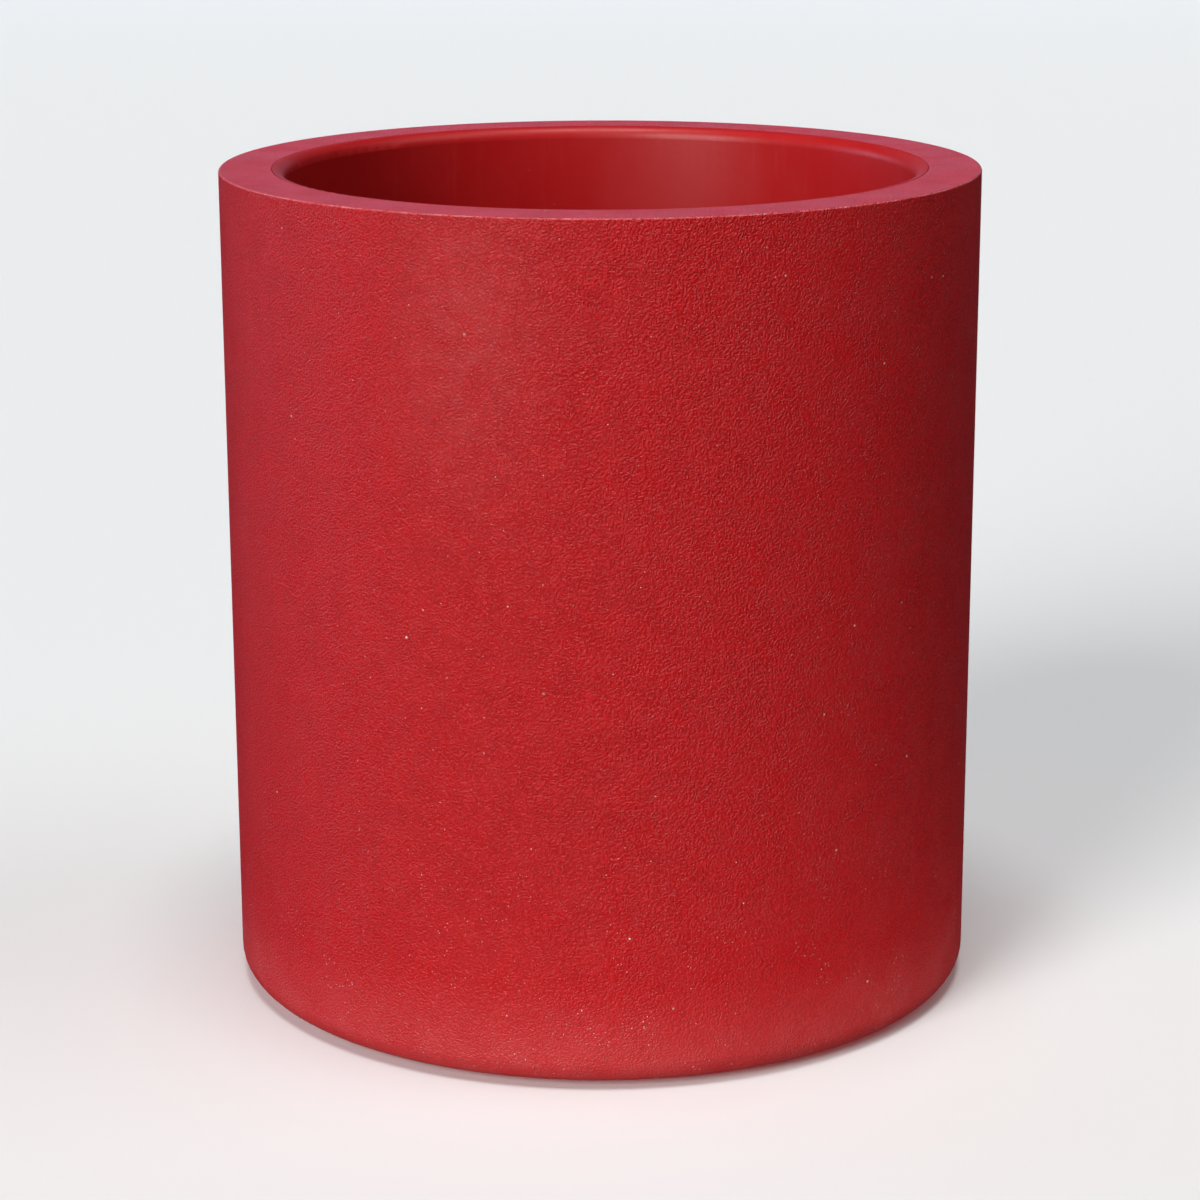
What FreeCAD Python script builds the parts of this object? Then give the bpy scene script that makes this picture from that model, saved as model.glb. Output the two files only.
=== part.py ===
import FreeCAD, Part
import math
import os

# A tall round planter: a textured outer jacket with a wide flat rim, and a smooth liner that drops into it.
#
# The jacket stands on six pads, and three plugs close its drain holes from inside. The liner's rounded lip
# sits flush in a rebate round the rim. Its perforated floor stands on upright ribs, so that surplus water
# collects below the soil.
#
# Frame: millimetres, +Z up, the origin on the ground at the centre of the planter. The axis of every round
# part is parallel to Z, and the liner's two hand holes face +X and -X.

# ---- driving dimensions ------------------------------------------------------------------------------------
OUTER_R = 200.0  # jacket's outside radius
RIM_Z = 440.0  # height of the rim's flat top above the ground
GROUND_GAP = 2.0  # the jacket's floor stands this far off the ground, on the pads
WALL = 3.5  # thickness of the jacket, and of the liner's floor
RIM_R = 172.4  # inner radius of the flat rim, where the liner's lip begins
LINER_WALL = 3.0
LINER_R = 165.5  # inside radius of the liner, a true cylinder
LIP_GAP = 0.2  # joint line between the lip and the rim
REST_GAP = 0.3  # room left under the liner's lip and floor
LINER_FLOOR_Z = 50.0  # top of the ribs that the liner stands on

# ---- jacket details ----------------------------------------------------------------------------------------
LOWER_EDGE_FILLET = 12.0
OUTER_EDGE_FILLET = 1.2  # rim's outer edge
SMALL_FILLET = 0.4
SEAT_DEPTH = 7.5  # depth of the rebate that takes the liner's lip
SEAT_SKIRT = 3.0  # thickness of the rebate's wall
LEDGE_THICKNESS = 3.0
LEDGE_OVERLAP = 3.2  # how far the ledge reaches inwards from the rebate's wall
DISH_INNER_R = 116.0  # the middle of the floor is raised, which stiffens it
DISH_OUTER_R = 120.0
DISH_RISE = 2.0
RIB_COUNT = 6
RIB_INNER_R = 50.0
RIB_OUTER_R = 150.0
RIB_THICKNESS = 3.0
RIM_RIB_COUNT = 12
RIM_RIB_THICKNESS = 2.0
EMBED = 1.0  # how far a rib or a tab runs into the wall it grows from
OVERSHOOT = 1.0  # how far a drainage hole's cutter runs past the floor it opens

# ---- pads and drain plugs ----------------------------------------------------------------------------------
PAD_COUNT = 6
PAD_CENTRE_R = 176.0
PAD_R = 10.0
PAD_HEIGHT = 3.5
PAD_CHAMFER = 0.8
PAD_SIDE_GAP = 0.1
DRAIN_COUNT = 3
DRAIN_FIRST_ANGLE = 30.0
DRAIN_CENTRE_R = 140.0
DRAIN_R = 11.0
PLUG_CLEARANCE = 0.05
PLUG_CHAMFER = 0.8
PLUG_FLANGE_R = 16.0
PLUG_FLANGE_THICKNESS = 3.0
TAB_HEIGHT = 13.0
TAB_WIDTH = 22.0
TAB_THICKNESS = 3.6
TAB_CORNER = 5.0

# ---- liner details -----------------------------------------------------------------------------------------
LINER_CORNER = 8.0  # inside radius between the liner's wall and floor
HOLE_R = 4.0
HOLE_RINGS = [(0.0, 1), (45.0, 6), (85.0, 12), (125.0, 18)]  # (ring radius, number of holes)
HAND_HOLE_WIDTH = 84.0
HAND_HOLE_HEIGHT = 24.0
HAND_HOLE_BELOW_RIM = 52.0  # from the rim to the middle of the hole

# ---- worked out from the above -----------------------------------------------------------------------------
JACKET_IN_R = OUTER_R - WALL
JACKET_FLOOR_Z = GROUND_GAP + WALL
RIM_UNDER_Z = RIM_Z - WALL
SEAT_Z = RIM_Z - SEAT_DEPTH
LEDGE_UNDER_Z = SEAT_Z - LEDGE_THICKNESS
LEDGE_R = RIM_R - LEDGE_OVERLAP
SEAT_OUT_R = RIM_R + SEAT_SKIRT
LIP_R = RIM_R - LIP_GAP
LIP_ROUND = LIP_R - LINER_R - 0.2  # leaves a narrow flat beside the joint line
LIP_UNDER_Z = SEAT_Z + REST_GAP
LINER_OUT_R = LINER_R + LINER_WALL
LINER_UNDER_Z = LINER_FLOOR_Z + REST_GAP
LINER_INSIDE_Z = LINER_UNDER_Z + WALL

AXIS = FreeCAD.Vector(0, 0, 1)
ORIGIN = FreeCAD.Vector(0, 0, 0)


def on_circle(count, first_angle=0.0):
    """The angles, in degrees, of `count` features evenly spaced round the axis."""
    return [first_angle + 360.0 * i / count for i in range(count)]


def turned(shape, angle):
    """A copy of the shape, turned about Z."""
    copy = shape.copy()
    copy.rotate(ORIGIN, AXIS, angle)
    return copy


def fillet_ends(before, corner, after, radius):
    """Start, middle and end of the arc of a radius that rounds a corner between two neighbours."""
    to_before = (before - corner).normalize()
    to_after = (after - corner).normalize()
    half = to_before.getAngle(to_after) / 2
    tangent = radius / math.tan(half)
    bisector = (to_before + to_after).normalize()
    middle = corner + bisector * (radius / math.sin(half) - radius)
    return corner + to_before * tangent, middle, corner + to_after * tangent


def rounded_face(corners):
    """A face in the XZ plane from (x, z, fillet radius) corners, taken in order."""
    points = [FreeCAD.Vector(x, 0, z) for x, z, _ in corners]
    spans = []
    for i, (_, _, radius) in enumerate(corners):
        if radius == 0:
            spans.append((points[i], None, points[i]))
        else:
            spans.append(fillet_ends(points[i - 1], points[i], points[(i + 1) % len(points)], radius))
    edges = []
    for i, (start, middle, end) in enumerate(spans):
        if middle is not None:
            edges.append(Part.Arc(start, middle, end).toShape())
        following = spans[(i + 1) % len(spans)][0]
        edges.append(Part.LineSegment(end, following).toShape())
    return Part.Face(Part.Wire(edges))


def turned_solid(corners):
    """The solid that a closed (radius, z, fillet) outline sweeps in one full turn about Z."""
    return rounded_face(corners).revolve(ORIGIN, AXIS, 360)


def cylinder(radius, low, high, centre_r=0.0, angle=0.0):
    """An upright cylinder between two heights, with its axis at a radius and an angle."""
    made = Part.makeCylinder(radius, high - low, FreeCAD.Vector(centre_r, 0, low))
    return turned(made, angle)


def radial_plate(corners, thickness, angle):
    """A flat upright plate along a radius: an outline in (radius, z), thickened evenly to both sides."""
    points = [FreeCAD.Vector(r, -thickness / 2, z) for r, z in corners]
    face = Part.Face(Part.makePolygon(points + points[:1]))
    return turned(face.extrude(FreeCAD.Vector(0, thickness, 0)), angle)


# ---- outer jacket ------------------------------------------------------------------------------------------
def jacket_shell():
    """Floor, wall, and flat rim with its rebate and ledge, as one turned section."""
    return turned_solid(
        [
            (0, JACKET_FLOOR_Z + DISH_RISE, 0),
            (DISH_INNER_R, JACKET_FLOOR_Z + DISH_RISE, 2.0),
            (DISH_OUTER_R, JACKET_FLOOR_Z, 2.0),
            (JACKET_IN_R, JACKET_FLOOR_Z, LOWER_EDGE_FILLET - WALL),
            (JACKET_IN_R, RIM_UNDER_Z, 2.0),
            (SEAT_OUT_R, RIM_UNDER_Z, 1.0),
            (SEAT_OUT_R, LEDGE_UNDER_Z, 1.0),
            (LEDGE_R, LEDGE_UNDER_Z, SMALL_FILLET),
            (LEDGE_R, SEAT_Z, SMALL_FILLET),
            (RIM_R, SEAT_Z, SMALL_FILLET),
            (RIM_R, RIM_Z, SMALL_FILLET),
            (OUTER_R, RIM_Z, OUTER_EDGE_FILLET),
            (OUTER_R, GROUND_GAP, LOWER_EDGE_FILLET),
            (DISH_OUTER_R, GROUND_GAP, 2.0),
            (DISH_INNER_R, GROUND_GAP + DISH_RISE, 2.0),
            (0, GROUND_GAP + DISH_RISE, 0),
        ]
    )


def support_ribs():
    """Upright ribs on the jacket's floor that carry the liner."""
    low = JACKET_FLOOR_Z - EMBED
    corners = [
        (RIB_INNER_R, low),
        (RIB_OUTER_R, low),
        (RIB_OUTER_R, LINER_FLOOR_Z),
        (RIB_INNER_R, LINER_FLOOR_Z),
    ]
    return [radial_plate(corners, RIB_THICKNESS, angle) for angle in on_circle(RIB_COUNT)]


def rim_ribs():
    """Low ribs under the flat rim, from the jacket's wall to the wall of the rebate."""
    inner, outer = SEAT_OUT_R - EMBED, JACKET_IN_R + EMBED
    high = RIM_UNDER_Z + EMBED
    corners = [(inner, SEAT_Z), (outer, SEAT_Z), (outer, high), (inner, high)]
    half_step = 180.0 / RIM_RIB_COUNT
    return [radial_plate(corners, RIM_RIB_THICKNESS, a) for a in on_circle(RIM_RIB_COUNT, half_step)]


def pad_recesses():
    """Shallow round recesses in the underside, one for each pad."""
    radius = PAD_R + PAD_SIDE_GAP
    return [cylinder(radius, 0, PAD_HEIGHT, PAD_CENTRE_R, angle) for angle in on_circle(PAD_COUNT)]


def drain_holes():
    """Holes through the jacket's floor, one for each plug."""
    angles = on_circle(DRAIN_COUNT, DRAIN_FIRST_ANGLE)
    return [cylinder(DRAIN_R, 0, LINER_FLOOR_Z, DRAIN_CENTRE_R, angle) for angle in angles]


def outer_jacket():
    body = jacket_shell().multiFuse(support_ribs() + rim_ribs())
    return body.cut(pad_recesses() + drain_holes()).removeSplitter()


# ---- inner liner -------------------------------------------------------------------------------------------
def liner_shell():
    """Straight wall with a rounded lip at the top and a flat floor."""
    return turned_solid(
        [
            (0, LINER_INSIDE_Z, 0),
            (LINER_R, LINER_INSIDE_Z, LINER_CORNER),
            (LINER_R, RIM_Z, LIP_ROUND),
            (LIP_R, RIM_Z, 0.15),
            (LIP_R, LIP_UNDER_Z, SMALL_FILLET),
            (LINER_OUT_R, LIP_UNDER_Z, SMALL_FILLET),
            (LINER_OUT_R, LINER_UNDER_Z, LINER_CORNER + LINER_WALL),
            (0, LINER_UNDER_Z, 0),
        ]
    )


def drainage_holes():
    """Holes through the liner's floor, in rings that miss the ribs below."""
    made = []
    for ring_r, count in HOLE_RINGS:
        for angle in on_circle(count, 180.0 / count):
            made.append(cylinder(HOLE_R, LINER_FLOOR_Z, LINER_INSIDE_Z + OVERSHOOT, ring_r, angle))
    return made


def hand_hole_bar():
    """One stadium-shaped bar along X, which cuts both hand holes."""
    middle_z = RIM_Z - HAND_HOLE_BELOW_RIM
    end_r = HAND_HOLE_HEIGHT / 2
    straight = HAND_HOLE_WIDTH - HAND_HOLE_HEIGHT
    length = 2 * OUTER_R
    bar = Part.makeBox(length, straight, HAND_HOLE_HEIGHT)
    bar.translate(FreeCAD.Vector(-length / 2, -straight / 2, middle_z - end_r))
    for side in (-1, 1):
        start = FreeCAD.Vector(-length / 2, side * straight / 2, middle_z)
        bar = bar.fuse(Part.makeCylinder(end_r, length, start, FreeCAD.Vector(1, 0, 0)))
    return bar.removeSplitter()


def inner_liner():
    return liner_shell().cut(drainage_holes() + [hand_hole_bar()]).removeSplitter()


# ---- drain plugs and foot pads -----------------------------------------------------------------------------
def plug_body():
    """Stem and flange of a plug, on the Z axis."""
    stem_r = DRAIN_R - PLUG_CLEARANCE
    top_z = JACKET_FLOOR_Z + PLUG_FLANGE_THICKNESS
    return turned_solid(
        [
            (0, GROUND_GAP, 0),
            (stem_r - PLUG_CHAMFER, GROUND_GAP, 0),
            (stem_r, GROUND_GAP + PLUG_CHAMFER, 0),
            (stem_r, JACKET_FLOOR_Z, 0),
            (PLUG_FLANGE_R, JACKET_FLOOR_Z, SMALL_FILLET),
            (PLUG_FLANGE_R, top_z, 1.2),
            (0, top_z, 0),
        ]
    )


def plug_tab():
    """Upright tab to pull a plug by, on the Z axis."""
    half = TAB_WIDTH / 2
    top_z = JACKET_FLOOR_Z + PLUG_FLANGE_THICKNESS
    face = rounded_face(
        [
            (-half, top_z - EMBED, 0),
            (half, top_z - EMBED, 0),
            (half, top_z + TAB_HEIGHT, TAB_CORNER),
            (-half, top_z + TAB_HEIGHT, TAB_CORNER),
        ]
    )
    tab = face.extrude(FreeCAD.Vector(0, TAB_THICKNESS, 0))
    tab.translate(FreeCAD.Vector(0, -TAB_THICKNESS / 2, 0))
    return tab


def drain_plug(angle):
    plug = plug_body().fuse(plug_tab()).removeSplitter()
    plug.translate(FreeCAD.Vector(DRAIN_CENTRE_R, 0, 0))
    return turned(plug, angle)


def foot_pad(angle):
    """A round pad with a chamfered foot."""
    pad = turned_solid(
        [
            (0, 0, 0),
            (PAD_R - PAD_CHAMFER, 0, 0),
            (PAD_R, PAD_CHAMFER, 0),
            (PAD_R, PAD_HEIGHT, 0),
            (0, PAD_HEIGHT, 0),
        ]
    )
    pad.translate(FreeCAD.Vector(PAD_CENTRE_R, 0, 0))
    return turned(pad, angle)


def all_parts():
    """Every sub-part, by node name."""
    made = {"outer_jacket": outer_jacket(), "inner_liner": inner_liner()}
    for i, angle in enumerate(on_circle(DRAIN_COUNT, DRAIN_FIRST_ANGLE), 1):
        made[f"drain_plug_{i}"] = drain_plug(angle)
    for i, angle in enumerate(on_circle(PAD_COUNT), 1):
        made[f"foot_pad_{i}"] = foot_pad(angle)
    return made


os.makedirs("parts", exist_ok=True)
for name, shape in all_parts().items():
    solids = shape.Solids
    assert shape.isValid() and len(solids) == 1, f"{name}: {len(solids)} solids, valid {shape.isValid()}"
    solids[0].exportStep(f"parts/{name}.step")
    print(f"{name}: {solids[0].Volume / 1000:.1f} cm3")
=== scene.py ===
import math

import bpy
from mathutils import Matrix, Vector


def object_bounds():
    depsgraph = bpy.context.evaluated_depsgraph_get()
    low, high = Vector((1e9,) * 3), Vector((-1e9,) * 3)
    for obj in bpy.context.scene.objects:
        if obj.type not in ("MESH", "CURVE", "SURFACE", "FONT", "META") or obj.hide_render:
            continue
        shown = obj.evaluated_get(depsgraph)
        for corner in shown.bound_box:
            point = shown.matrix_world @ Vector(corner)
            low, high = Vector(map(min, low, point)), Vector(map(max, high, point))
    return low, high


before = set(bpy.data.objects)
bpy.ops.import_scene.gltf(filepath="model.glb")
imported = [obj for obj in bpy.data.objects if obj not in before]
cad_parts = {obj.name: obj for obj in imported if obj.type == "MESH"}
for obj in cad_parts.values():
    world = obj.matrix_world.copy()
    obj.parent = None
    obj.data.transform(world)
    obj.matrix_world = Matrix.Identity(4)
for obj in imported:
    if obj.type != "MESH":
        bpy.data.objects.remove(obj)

CAD_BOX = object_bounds()
RIM_Z = CAD_BOX[1][2]
OUTER_R = CAD_BOX[1][0]
MM = 0.001

# Colours are linear: first the surfaces', some of which paint in shade, highlights and reflections, then the
# lights'.
RED = (0.560, 0.0040, 0.0076)
# Painted shade: the red darkened in the grain's pits, where the lumps shade them.
RED_PIT_SHADE = (0.475, 0.0010, 0.0026)
# A faint chalky bloom; the same colour also paints a highlight patch of sheen.
RED_BLOOM_AND_SHEEN = (0.560, 0.0700, 0.0720)
# Pale dashes along the rim's outer edge: partly wear, partly a painted highlight where the rounded edge
# catches the light.
RED_WORN_AND_GLINT = (0.750, 0.2500, 0.2700)
# Lighter red low on the wall: partly a dusty haze, partly painted light bounced up from the floor.
RED_HAZE_AND_BOUNCE = (0.700, 0.1000, 0.1000)
# Painted reflection: the bluish sky sheen that the level top of the rim mirrors at a low angle.
TOP_SKY_SHEEN = (0.800, 0.0690, 0.1240)
# The jacket's red made darker for the liner: painted shade of the pot's inside.
LINER_SHADED_RED = (0.470, 0.0075, 0.0085)
LINER_SCUFF = (0.510, 0.0260, 0.0280)
DUST = (0.780, 0.640, 0.600)
RUBBER = (0.022, 0.022, 0.024)
RUBBER_DUSTY = (0.075, 0.071, 0.067)
FLOOR_WHITE = (0.92, 0.91, 0.895)

WHITE = (1.0, 1.0, 1.0)
COOL_WHITE = (0.95, 0.98, 1.0)
WARM_WHITE = (1.0, 0.94, 0.92)
EDGE_BLUE = (0.40, 0.70, 1.0)
SCREEN_BLUE = (0.50, 0.70, 1.0)
BACKDROP = (0.74, 0.76, 0.78)
ROOM = (0.014, 0.018, 0.024)
BOUNCE = (0.47, 0.46, 0.45)

# The grain of the jacket's wall.
GRAIN_PITCH = 1.15 * MM
GRAIN_HEIGHT = 0.68 * MM

# The middle of a painted highlight: a patch of the wall, left of the front and near the rim, painted paler
# where the key light's broad sheen falls.
SHEEN_SPOT = (-0.066, -0.189, 0.385)

FLOOR_HALF = 14.0
CARD_SIZE = (0.32, 0.14)
SCREEN_SIZE = (7.0, 3.6)
SCREEN_DISTANCE = 9.0

# The camera's sensor and lens in millimetres, its place, and its angles in degrees: below level, and about
# its own line of sight.
SENSOR_WIDTH = 36.0
FOCAL_LENGTH = 97.95
CAMERA_PLACE = (-0.0006, -1.7212, RIM_Z + 0.2196)
LOOKS_DOWN = 14.882
LEANS = -0.142


def rgba(colour):
    """The colour with the opaque alpha that sockets want."""
    return (*colour, 1.0)


class Material:
    """A Principled material with the few kinds of node that the surfaces here are made of."""

    def __init__(self, name):
        self.data = bpy.data.materials.new(name)
        self.data.use_nodes = True
        self.nodes = self.data.node_tree.nodes
        self.shader = self.nodes["Principled BSDF"]
        self.place = self.add("ShaderNodeTexCoord").outputs["Object"]

    def add(self, kind, **settings):
        node = self.nodes.new(kind)
        for name, value in settings.items():
            setattr(node, name, value)
        return node

    def feed(self, socket, value):
        """Sets a socket to a number or a colour, or links an output to it."""
        if isinstance(value, bpy.types.NodeSocket):
            self.data.node_tree.links.new(value, socket)
        else:
            socket.default_value = value

    def set(self, name, value):
        self.feed(self.shader.inputs[name], value)

    def math(self, operation, a, b):
        node = self.add("ShaderNodeMath", operation=operation)
        self.feed(node.inputs[0], a)
        self.feed(node.inputs[1], b)
        return node.outputs[0]

    def smooth_step(self, value, start, end, low=0.0, high=1.0):
        """low where value is short of start, high where it's past end, and a soft change between them.

        start may be the larger of the two."""
        node = self.add("ShaderNodeMapRange", interpolation_type="SMOOTHSTEP")
        if start > end:
            start, end, low, high = end, start, high, low
        for socket, number in zip(node.inputs, (value, start, end, low, high)):
            self.feed(socket, number)
        return node.outputs[0]

    def noise(self, size, detail=2.0, roughness=0.5, place=None):
        """Values round 0.5 whose largest lumps are about size across."""
        node = self.add("ShaderNodeTexNoise")
        self.feed(node.inputs["Vector"], place or self.place)
        self.feed(node.inputs["Scale"], 1.0 / size)
        self.feed(node.inputs["Detail"], detail)
        self.feed(node.inputs["Roughness"], roughness)
        return node.outputs["Fac"]

    def cells(self, size):
        """Distance to the nearest of many scattered points, size apart, as a share of size."""
        node = self.add("ShaderNodeTexVoronoi")
        self.feed(node.inputs["Vector"], self.place)
        self.feed(node.inputs["Scale"], 1.0 / size)
        return node.outputs["Distance"]

    def mix(self, share, a, b):
        """Colour a, turning to b as share goes from 0 to 1."""
        node = self.add("ShaderNodeMix", data_type="RGBA")
        share_socket, a_socket, b_socket = node.inputs[0], node.inputs[6], node.inputs[7]
        self.feed(share_socket, share)
        self.feed(a_socket, a if isinstance(a, bpy.types.NodeSocket) else rgba(a))
        self.feed(b_socket, b if isinstance(b, bpy.types.NodeSocket) else rgba(b))
        return node.outputs[2]

    def stretched(self, x, y, z):
        """Coordinates scaled along each axis, which draws a pattern out along the axes of small scale."""
        node = self.add("ShaderNodeMapping")
        self.feed(node.inputs["Vector"], self.place)
        node.inputs["Scale"].default_value = (x, y, z)
        return node.outputs["Vector"]

    def warped(self, size, reach):
        """Coordinates pushed about by up to reach, by noise of this size."""
        noise = self.add("ShaderNodeTexNoise")
        self.feed(noise.inputs["Vector"], self.place)
        self.feed(noise.inputs["Scale"], 1.0 / size)
        push = self.add("ShaderNodeVectorMath", operation="MULTIPLY_ADD")
        self.feed(push.inputs[0], noise.outputs["Color"])
        push.inputs[1].default_value = (reach, reach, reach)
        self.feed(push.inputs[2], self.place)
        return push.outputs["Vector"]

    def distance_from(self, spot, stretch):
        """Distance from a spot, with each axis scaled by stretch."""
        apart = self.add("ShaderNodeVectorMath", operation="SUBTRACT")
        self.feed(apart.inputs[0], self.place)
        apart.inputs[1].default_value = spot
        scaled = self.add("ShaderNodeVectorMath", operation="MULTIPLY")
        self.feed(scaled.inputs[0], apart.outputs[0])
        scaled.inputs[1].default_value = stretch
        length = self.add("ShaderNodeVectorMath", operation="LENGTH")
        self.feed(length.inputs[0], scaled.outputs[0])
        return length.outputs["Value"]

    def radius_and_height(self):
        """Distance from the planter's axis, and height above the ground."""
        split = self.add("ShaderNodeSeparateXYZ")
        self.feed(split.inputs[0], self.place)
        flat = self.add("ShaderNodeCombineXYZ")
        self.feed(flat.inputs[0], split.outputs["X"])
        self.feed(flat.inputs[1], split.outputs["Y"])
        length = self.add("ShaderNodeVectorMath", operation="LENGTH")
        self.feed(length.inputs[0], flat.outputs[0])
        return length.outputs["Value"], split.outputs["Z"]

    def bump(self, height, depth, strength=1.0):
        """The relief of height, from 0 to 1, over depth metres."""
        node = self.add("ShaderNodeBump")
        self.feed(node.inputs["Height"], height)
        node.inputs["Distance"].default_value = depth
        self.feed(node.inputs["Strength"], strength)
        self.feed(self.shader.inputs["Normal"], node.outputs["Normal"])


def specks(mat, spacing, size):
    """1 on scattered grains up to size across and 0 elsewhere. Only those that the surface cuts show."""
    return mat.smooth_step(mat.cells(spacing), 0.5 * size / spacing, 0.3 * size / spacing)


def pebbles(mat):
    """Relief from 0 to 1 or so: flat-topped lumps of uneven outline, with finer creases over them."""
    lumps = mat.noise(GRAIN_PITCH, 1.0, 0.5, mat.warped(2.0 * GRAIN_PITCH, 0.8 * GRAIN_PITCH))
    creases = mat.noise(0.5 * GRAIN_PITCH, 1.0)
    return mat.math("ADD", mat.math("MULTIPLY", mat.smooth_step(lumps, 0.36, 0.64), 0.75),
                    mat.math("MULTIPLY", creases, 0.5))


def grained_share(mat, radius, height):
    """How strongly the grain shows: on the outer wall and the level top only, and less near the base."""
    outside = mat.smooth_step(radius, OUTER_R - 3.2 * MM, OUTER_R - 1.5 * MM)
    top = mat.smooth_step(height, RIM_Z - 2.5 * MM, RIM_Z - 1.5 * MM)
    uneven = mat.smooth_step(mat.noise(14 * MM, 3.0, 0.6), 0.3, 0.7, 0.75, 1.1)
    uneven = mat.math("MULTIPLY", uneven, mat.smooth_step(height, 15 * MM, 120 * MM, 0.62, 1.0))
    return mat.math("MULTIPLY", mat.math("MAXIMUM", outside, top), uneven)


def bloom_and_sheen_share(mat):
    """A faint chalky bloom in clouds, and one painted highlight patch where the key light's broad sheen
    falls.
    """
    clouds = mat.math("MULTIPLY", mat.noise(90 * MM, 3.0, 0.6), mat.noise(9 * MM, 3.0, 0.65))
    bloom = mat.smooth_step(clouds, 0.20, 0.42, 0.0, 0.05)
    # Painted highlight: a paler patch where the key light's broad sheen falls.
    painted_sheen = mat.smooth_step(mat.distance_from(SHEEN_SPOT, (1.0, 1.0, 0.45)), 58 * MM, 5 * MM, 0.0, 0.26)
    broken = mat.smooth_step(mat.noise(11 * MM, 4.0, 0.65), 0.3, 0.7, 0.3, 1.3)
    return mat.math("ADD", bloom, mat.math("MULTIPLY", painted_sheen, broken))


def worn_and_glint_share(mat, radius, height):
    """Where the rim's crisp outer edge is painted pale, in short dashes: partly wear, partly a painted
    highlight of the rounded edge catching the light.
    """
    edge = mat.math("MULTIPLY", mat.smooth_step(radius, OUTER_R - 0.9 * MM, OUTER_R - 0.3 * MM),
                    mat.smooth_step(height, RIM_Z - 1.0 * MM, RIM_Z - 0.4 * MM))
    return mat.math("MULTIPLY", edge, mat.smooth_step(mat.noise(3 * MM, 4.0, 0.75), 0.38, 0.66, 0.15, 1.0))


def wall_dust(mat, height):
    """Scattered pale grains of two sizes, and finer ones gathered in patches low down."""
    scattered = mat.math("MAXIMUM", specks(mat, 17 * MM, 1.5 * MM), specks(mat, 7 * MM, 0.7 * MM))
    scattered = mat.math("MULTIPLY", scattered, mat.smooth_step(mat.noise(3 * MM, 1.0), 0.35, 0.6))
    low = mat.smooth_step(height, 170 * MM, 30 * MM)
    patches = mat.math("MULTIPLY", low, mat.smooth_step(mat.noise(40 * MM, 3.0, 0.6), 0.47, 0.60))
    return mat.math("MAXIMUM", scattered, mat.math("MULTIPLY", specks(mat, 2.8 * MM, 0.7 * MM), patches))


def jacket_material():
    """Red plastic with a pebbled outside and painted shade in its pits, a chalky bloom with one painted
    highlight patch, haze low down that is partly painted floor bounce, a painted sky reflection on the level
    top, a worn edge that is partly a painted highlight, and dust.
    """
    mat = Material("jacket_red_plastic")
    radius, height = mat.radius_and_height()
    grain = pebbles(mat)
    mat.bump(grain, GRAIN_HEIGHT, grained_share(mat, radius, height))
    # Painted shade in the grain's pits: darker red where the grain is low.
    colour = mat.mix(mat.smooth_step(grain, 0.25, 0.75), RED_PIT_SHADE, RED)
    # A chalky bloom in clouds, and a painted highlight patch of sheen.
    colour = mat.mix(bloom_and_sheen_share(mat), colour, RED_BLOOM_AND_SHEEN)

    patchy = mat.smooth_step(mat.noise(20 * MM, 4.0, 0.6), 0.25, 0.75, 0.7, 1.3)
    # Lighter towards the base: partly dusty haze, partly painted floor bounce light.
    low_haze_and_bounce = mat.math("MULTIPLY", mat.smooth_step(height, 60 * MM, 4 * MM, 0.0, 0.32), patchy)
    colour = mat.mix(low_haze_and_bounce, colour, RED_HAZE_AND_BOUNCE)
    # Painted reflection of the bluish sky on the level top of the rim, in patches.
    level = mat.smooth_step(height, RIM_Z - 0.5 * MM, RIM_Z - 0.1 * MM, 0.0, 0.5)
    fine = mat.smooth_step(mat.noise(2.2 * MM, 2.0, 0.6), 0.3, 0.7, 0.7, 1.3)
    painted_top_sheen = mat.math("MULTIPLY", mat.math("MULTIPLY", level, patchy), fine)
    colour = mat.mix(painted_top_sheen, colour, TOP_SKY_SHEEN)

    # The rim's outer edge: partly wear, partly a painted highlight of the rounded edge.
    colour = mat.mix(worn_and_glint_share(mat, radius, height), colour, RED_WORN_AND_GLINT)
    colour = mat.mix(mat.math("MULTIPLY", wall_dust(mat, height), 0.9), colour, DUST)
    mat.set("Base Color", colour)
    mat.set("Roughness", mat.smooth_step(mat.noise(25 * MM, 3.0), 0.3, 0.7, 0.32, 0.41))
    mat.set("Specular IOR Level", 0.40)
    return mat.data


def liner_material():
    """The jacket's red made darker, the darkening painted shade for the pot's inside, moulded smooth: a
    satin face with faint upright flow marks and light rubs.
    """
    mat = Material("liner_red_plastic")
    drawn = mat.stretched(1.0, 1.0, 0.08)
    flow = mat.noise(14 * MM, 2.0, 0.5, drawn)
    rubs = mat.smooth_step(mat.noise(5 * MM, 4.0, 0.7, drawn), 0.52, 0.75, 0.0, 0.35)
    # The liner's red holds painted shade of the pot's inside.
    colour = mat.mix(rubs, LINER_SHADED_RED, LINER_SCUFF)
    colour = mat.mix(mat.math("MULTIPLY", specks(mat, 12 * MM, 0.5 * MM), 0.5), colour, DUST)
    mat.set("Base Color", colour)
    mat.set("Roughness", mat.smooth_step(mat.noise(30 * MM, 3.0), 0.3, 0.7, 0.40, 0.48))
    mat.set("Specular IOR Level", 0.42)
    mat.bump(mat.math("ADD", flow, mat.noise(2.2 * MM, 1.0)), 0.05 * MM)
    return mat.data


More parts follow.
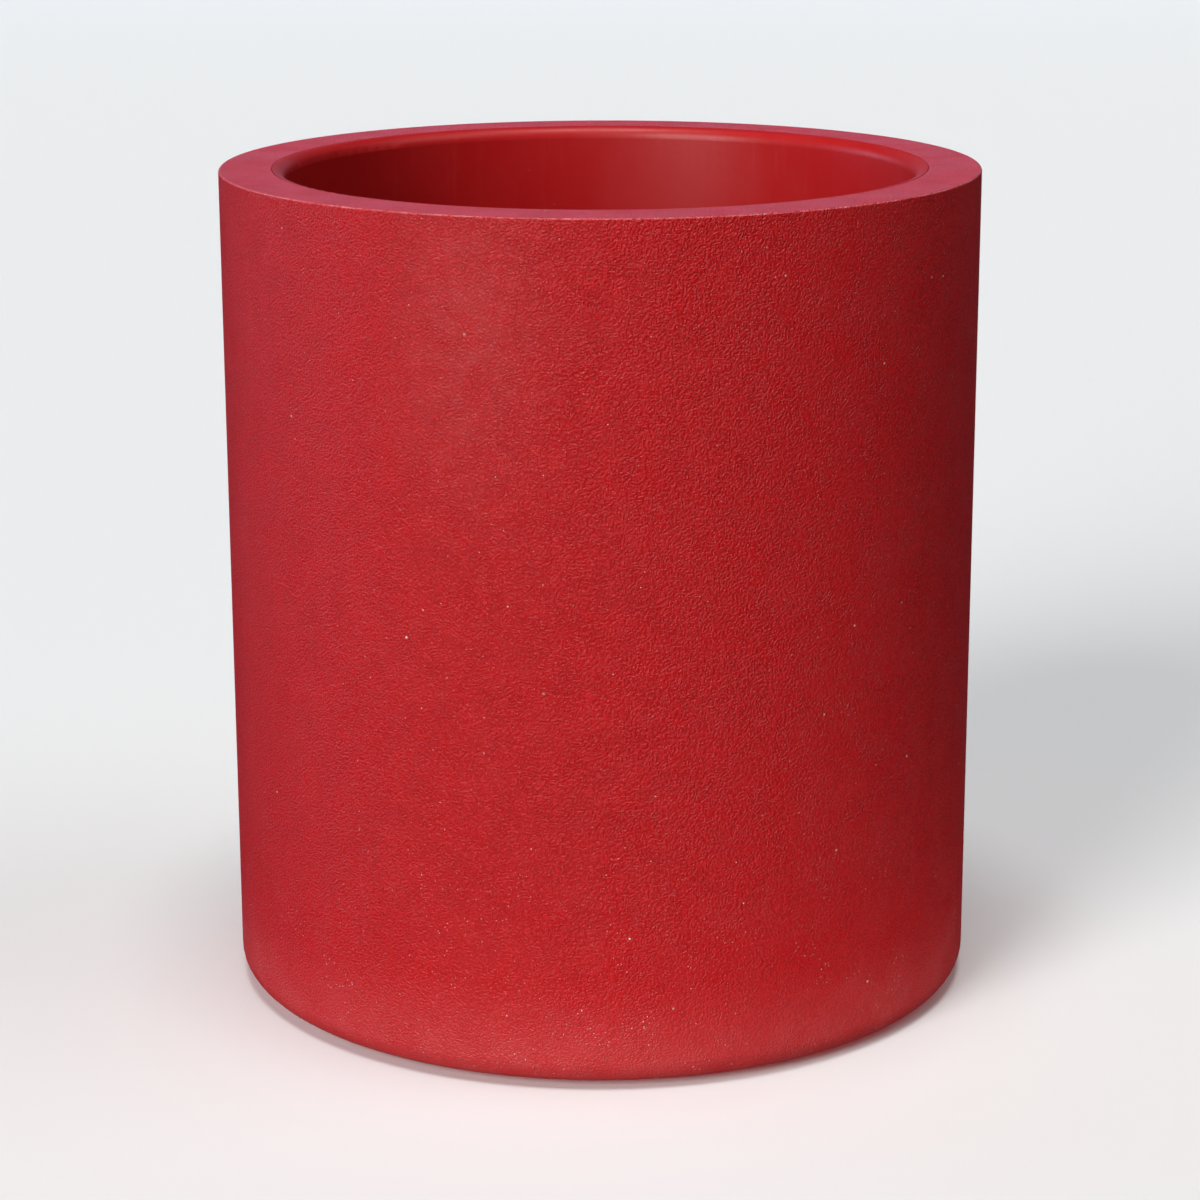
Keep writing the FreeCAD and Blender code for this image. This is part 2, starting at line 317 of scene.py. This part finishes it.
def rubber_material():
    """Black rubber with a fine matt grain and dust caught in it."""
    mat = Material("black_rubber")
    grain = mat.noise(0.8 * MM, 3.0, 0.6)
    dust = mat.smooth_step(mat.noise(7 * MM, 4.0, 0.65), 0.45, 0.70, 0.0, 0.7)
    mat.set("Base Color", mat.mix(dust, RUBBER, RUBBER_DUSTY))
    mat.set("Roughness", mat.smooth_step(dust, 0.0, 0.7, 0.62, 0.85))
    mat.bump(grain, 0.12 * MM)
    return mat.data


def dress_nodes():
    """Gives the jacket and the liner their own plastics, and every plug and pad the rubber."""
    plastics = {"outer_jacket": jacket_material(), "inner_liner": liner_material()}
    rubber = rubber_material()
    for name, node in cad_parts.items():
        node.data.materials.clear()
        node.data.materials.append(plastics.get(name, rubber))


def make_floor():
    """A plain pale floor that runs past the horizon. The planter neither mirrors it nor is lit by it."""
    far = FLOOR_HALF
    corners = [(-far, -far, 0), (far, -far, 0), (far, far, 0), (-far, far, 0)]
    mesh = bpy.data.meshes.new("floor")
    mesh.from_pydata(corners, [], [(0, 1, 2, 3)])
    floor = bpy.data.objects.new("floor", mesh)
    bpy.context.scene.collection.objects.link(floor)
    mat = Material("floor_white")
    mat.set("Base Color", rgba(FLOOR_WHITE))
    mat.set("Roughness", 0.8)
    mesh.materials.append(mat.data)
    floor.visible_glossy = False
    floor.visible_diffuse = False


def aim(lamp, azimuth, elevation, distance, target):
    """Stands a lamp off from a target, facing it. In degrees, azimuth 0 is the front and 90 is +X."""
    around, up = math.radians(azimuth), math.radians(elevation)
    away = Vector((math.sin(around) * math.cos(up), -math.cos(around) * math.cos(up), math.sin(up)))
    lamp.location = target + distance * away
    lamp.rotation_euler = away.to_track_quat("Z", "Y").to_euler()


def distant_lamp(name, azimuth, elevation, width, brightness, colour):
    """A far soft light, width degrees across, that makes a white card facing it as bright as brightness."""
    data = bpy.data.lights.new(name, "SUN")
    data.angle = math.radians(width)
    data.energy = math.pi * brightness
    data.color = colour
    lamp = bpy.data.objects.new(name, data)
    bpy.context.scene.collection.objects.link(lamp)
    aim(lamp, azimuth, elevation, 5.0, Vector((0, 0, RIM_Z)))


def panel(name, width, height, brightness, colour):
    """A soft panel that looks as bright as brightness from the front, and that the camera doesn't see."""
    data = bpy.data.lights.new(name, "AREA")
    data.shape = "RECTANGLE"
    data.size = width
    data.size_y = height
    data.energy = 4 * width * height * brightness
    data.color = colour
    lamp = bpy.data.objects.new(name, data)
    bpy.context.scene.collection.objects.link(lamp)
    lamp.visible_camera = False
    return lamp


def back_screen():
    """A wide blue screen far behind, which the level rim mirrors at a low angle."""
    width, height = SCREEN_SIZE
    screen = panel("back_screen", width, height, 0.33, SCREEN_BLUE)
    aim(screen, 180, 0, SCREEN_DISTANCE, Vector((0, 0, height / 2)))


def floor_card(name, azimuth, brightness):
    """A card flat on the floor beside the base, facing up, that lightens the lowest part of the wall."""
    width, depth = CARD_SIZE
    card = panel(name, width, depth, brightness, WARM_WHITE)
    around = math.radians(azimuth)
    away = OUTER_R + 10 * MM + depth / 2
    card.location = (away * math.sin(around), -away * math.cos(around), 3 * MM)
    card.rotation_euler = (math.pi, 0, around)
    card.visible_glossy = False


def below_horizon(tree):
    """0 above the horizon and 1 a little below it."""
    split = tree.nodes.new("ShaderNodeSeparateXYZ")
    tree.links.new(tree.nodes.new("ShaderNodeTexCoord").outputs["Generated"], split.inputs[0])
    step = tree.nodes.new("ShaderNodeMapRange")
    tree.links.new(split.outputs["Z"], step.inputs["Value"])
    step.inputs["From Min"].default_value = 0.0
    step.inputs["From Max"].default_value = -0.05
    return step.outputs[0]


def surround():
    """A dim bluish room to mirror, a soft bounce from below, and a backdrop that only the camera sees."""
    world = bpy.data.worlds.new("room")
    bpy.context.scene.world = world
    world.use_nodes = True
    tree = world.node_tree
    path = tree.nodes.new("ShaderNodeLightPath")
    bounced = tree.nodes.new("ShaderNodeMath")
    bounced.operation = "MULTIPLY"
    tree.links.new(below_horizon(tree), bounced.inputs[0])
    tree.links.new(path.outputs["Is Diffuse Ray"], bounced.inputs[1])
    tint = tree.nodes.new("ShaderNodeMix")
    tint.data_type = "RGBA"
    tree.links.new(bounced.outputs[0], tint.inputs["Factor"])
    tint.inputs[6].default_value = rgba(ROOM)
    tint.inputs[7].default_value = rgba(BOUNCE)
    room = tree.nodes["Background"]
    tree.links.new(tint.outputs[2], room.inputs["Color"])
    backdrop = tree.nodes.new("ShaderNodeBackground")
    backdrop.inputs["Color"].default_value = rgba(BACKDROP)
    seen = tree.nodes.new("ShaderNodeMixShader")
    tree.links.new(path.outputs["Is Camera Ray"], seen.inputs[0])
    tree.links.new(room.outputs[0], seen.inputs[1])
    tree.links.new(backdrop.outputs[0], seen.inputs[2])
    tree.links.new(seen.outputs[0], tree.nodes["World Output"].inputs["Surface"])


def light_the_scene():
    """A tall soft key at the front left, an overhead lamp, weak fills, and blue light from behind."""
    distant_lamp("key_upper", -36, 30, 26, 0.47, WHITE)
    distant_lamp("key_lower", -36, 12, 26, 0.38, COOL_WHITE)
    distant_lamp("overhead", 0, 83, 24, 0.48, WHITE)
    distant_lamp("right_fill", 80, 50, 40, 0.16, COOL_WHITE)
    distant_lamp("left_edge", -118, 8, 30, 0.20, EDGE_BLUE)
    floor_card("front_card", 5, 0.30)
    floor_card("right_card", 55, 0.55)
    back_screen()
    surround()


def place_camera():
    """A long lens in front of the planter, a little above its rim and looking down on it."""
    data = bpy.data.cameras.new("camera")
    data.sensor_width = SENSOR_WIDTH
    data.lens = FOCAL_LENGTH
    camera = bpy.data.objects.new("camera", data)
    bpy.context.scene.collection.objects.link(camera)
    camera.location = CAMERA_PLACE
    camera.rotation_euler = (math.radians(90 - LOOKS_DOWN), 0, 0)
    camera.rotation_euler.rotate_axis("Z", math.radians(LEANS))
    bpy.context.scene.camera = camera


dress_nodes()
make_floor()
light_the_scene()
place_camera()
bpy.context.scene.view_settings.view_transform = "Standard"
